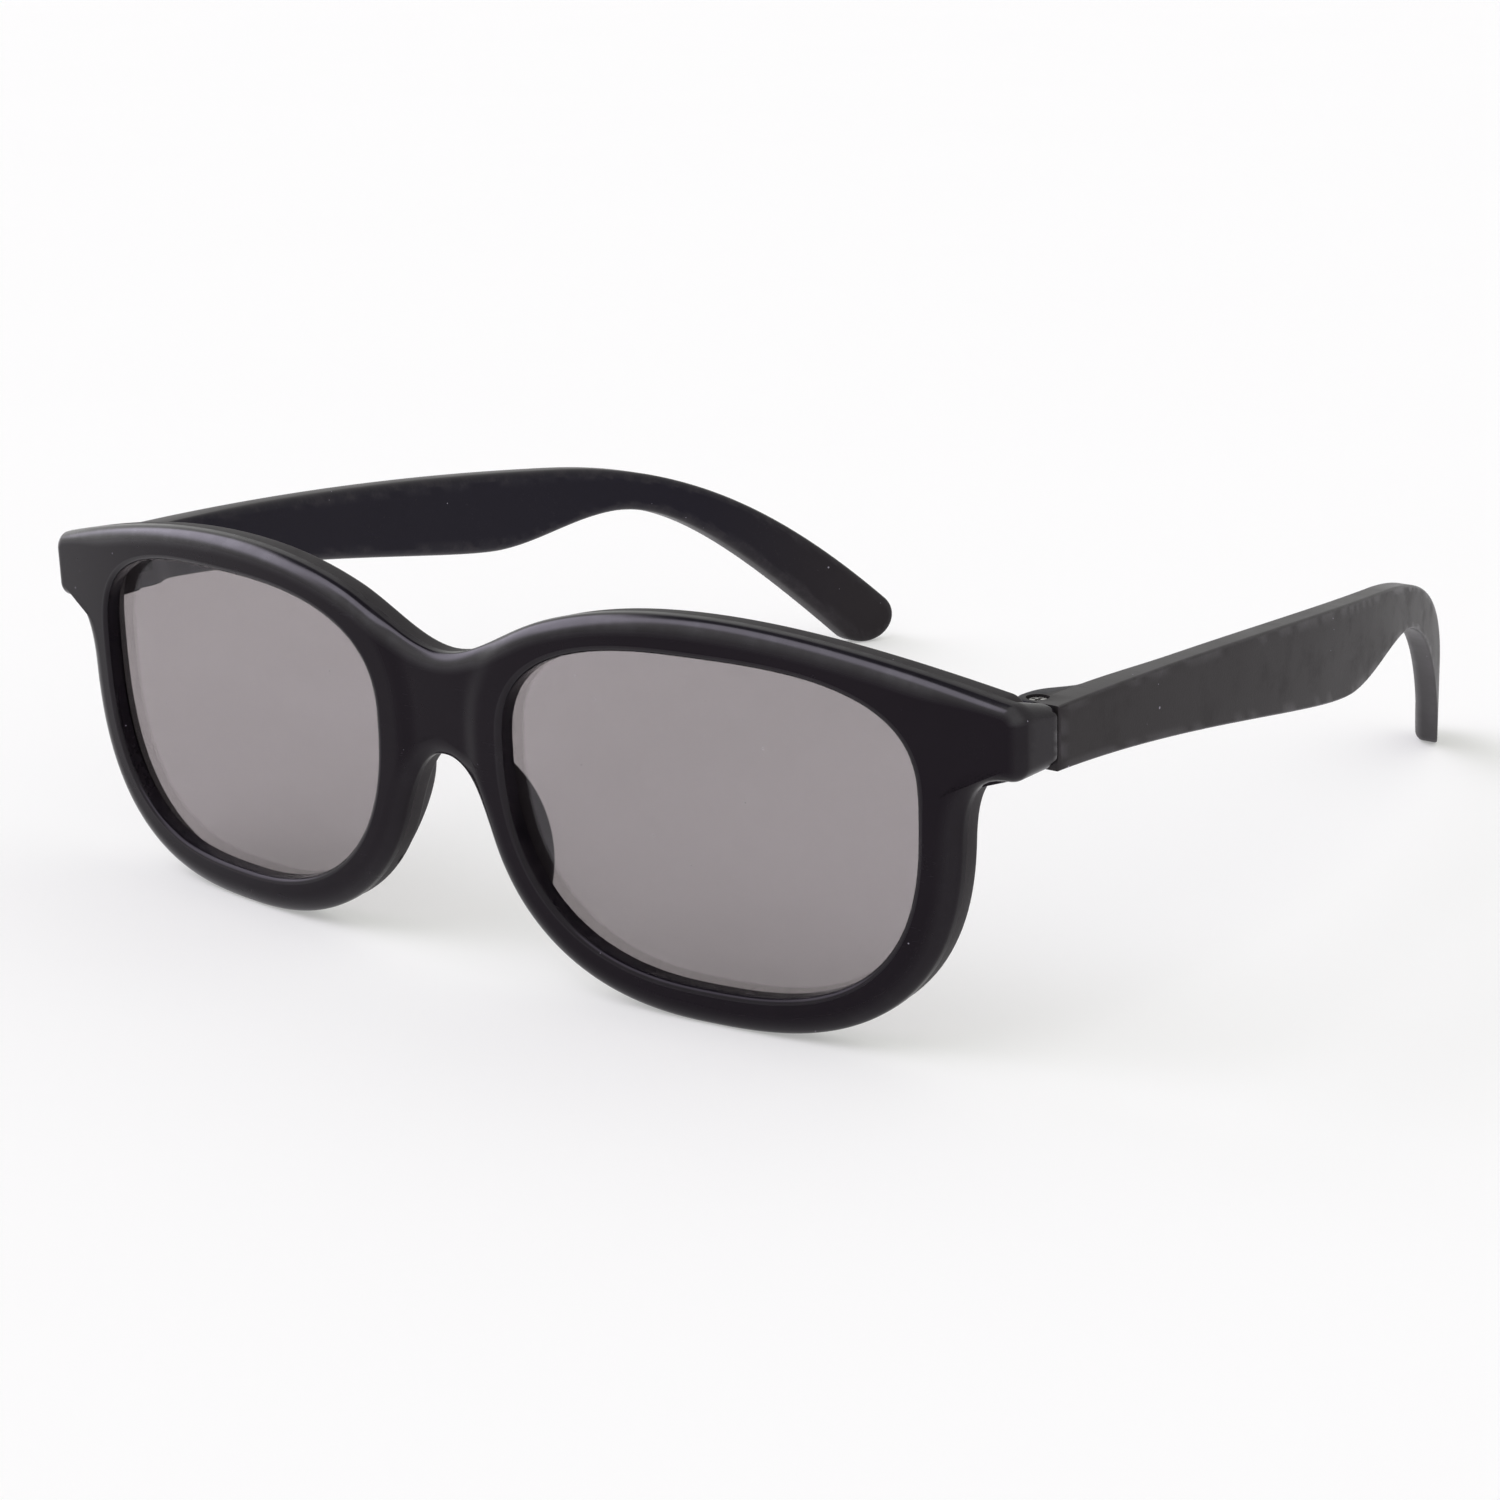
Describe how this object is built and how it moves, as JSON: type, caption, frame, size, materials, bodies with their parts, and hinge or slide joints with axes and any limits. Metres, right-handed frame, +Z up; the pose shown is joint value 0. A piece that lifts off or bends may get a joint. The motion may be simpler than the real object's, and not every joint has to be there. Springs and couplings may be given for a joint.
{
  "type": "3d glasses",
  "caption": "Passive polarised 3-D glasses: bowed split-shell front with laminated grey lenses and nose fins, and curved side arms that fold on screw hinges.",
  "frame": {"origin": "under the middle of the open glasses, at the level of the rims and ear tips that they stand on", "axes": "+X to the wearer's left across the face, +Y back along the side arms, +Z up"},
  "size_m": [0.1464, 0.1508, 0.0458],
  "materials": {
    "gloss_shell": "glossy moulded black",
    "matt_shell": "matt moulded black",
    "temple_plastic": "satin moulded black",
    "retarder_film": "clear film with a warm tint",
    "polariser_film": "grey film",
    "backing_sheet": "clear sheet",
    "screw_steel": "plated steel"
  },
  "bodies": {
    "front": {"front_shell": "gloss_shell", "rear_shell": "matt_shell", "left_retarder_film": "retarder_film", "left_polariser_film": "polariser_film", "left_backing_sheet": "backing_sheet", "right_retarder_film": "retarder_film", "right_polariser_film": "polariser_film", "right_backing_sheet": "backing_sheet"},
    "left_arm": {"left_temple": "temple_plastic", "left_hinge_screw": "screw_steel"},
    "right_arm": {"right_temple": "temple_plastic", "right_hinge_screw": "screw_steel"}
  },
  "joints": [
    {"name": "left_fold", "type": "hinge", "parent": "front", "child": "left_arm", "pos_m": [0.0693, -0.05795, 0.03569], "axis": [0, -0.021, 0.9998], "range_deg": [0, 83]},
    {"name": "right_fold", "type": "hinge", "parent": "front", "child": "right_arm", "pos_m": [-0.0693, -0.05795, 0.03569], "axis": [0, 0.021, -0.9998], "range_deg": [0, 78]}
  ]
}
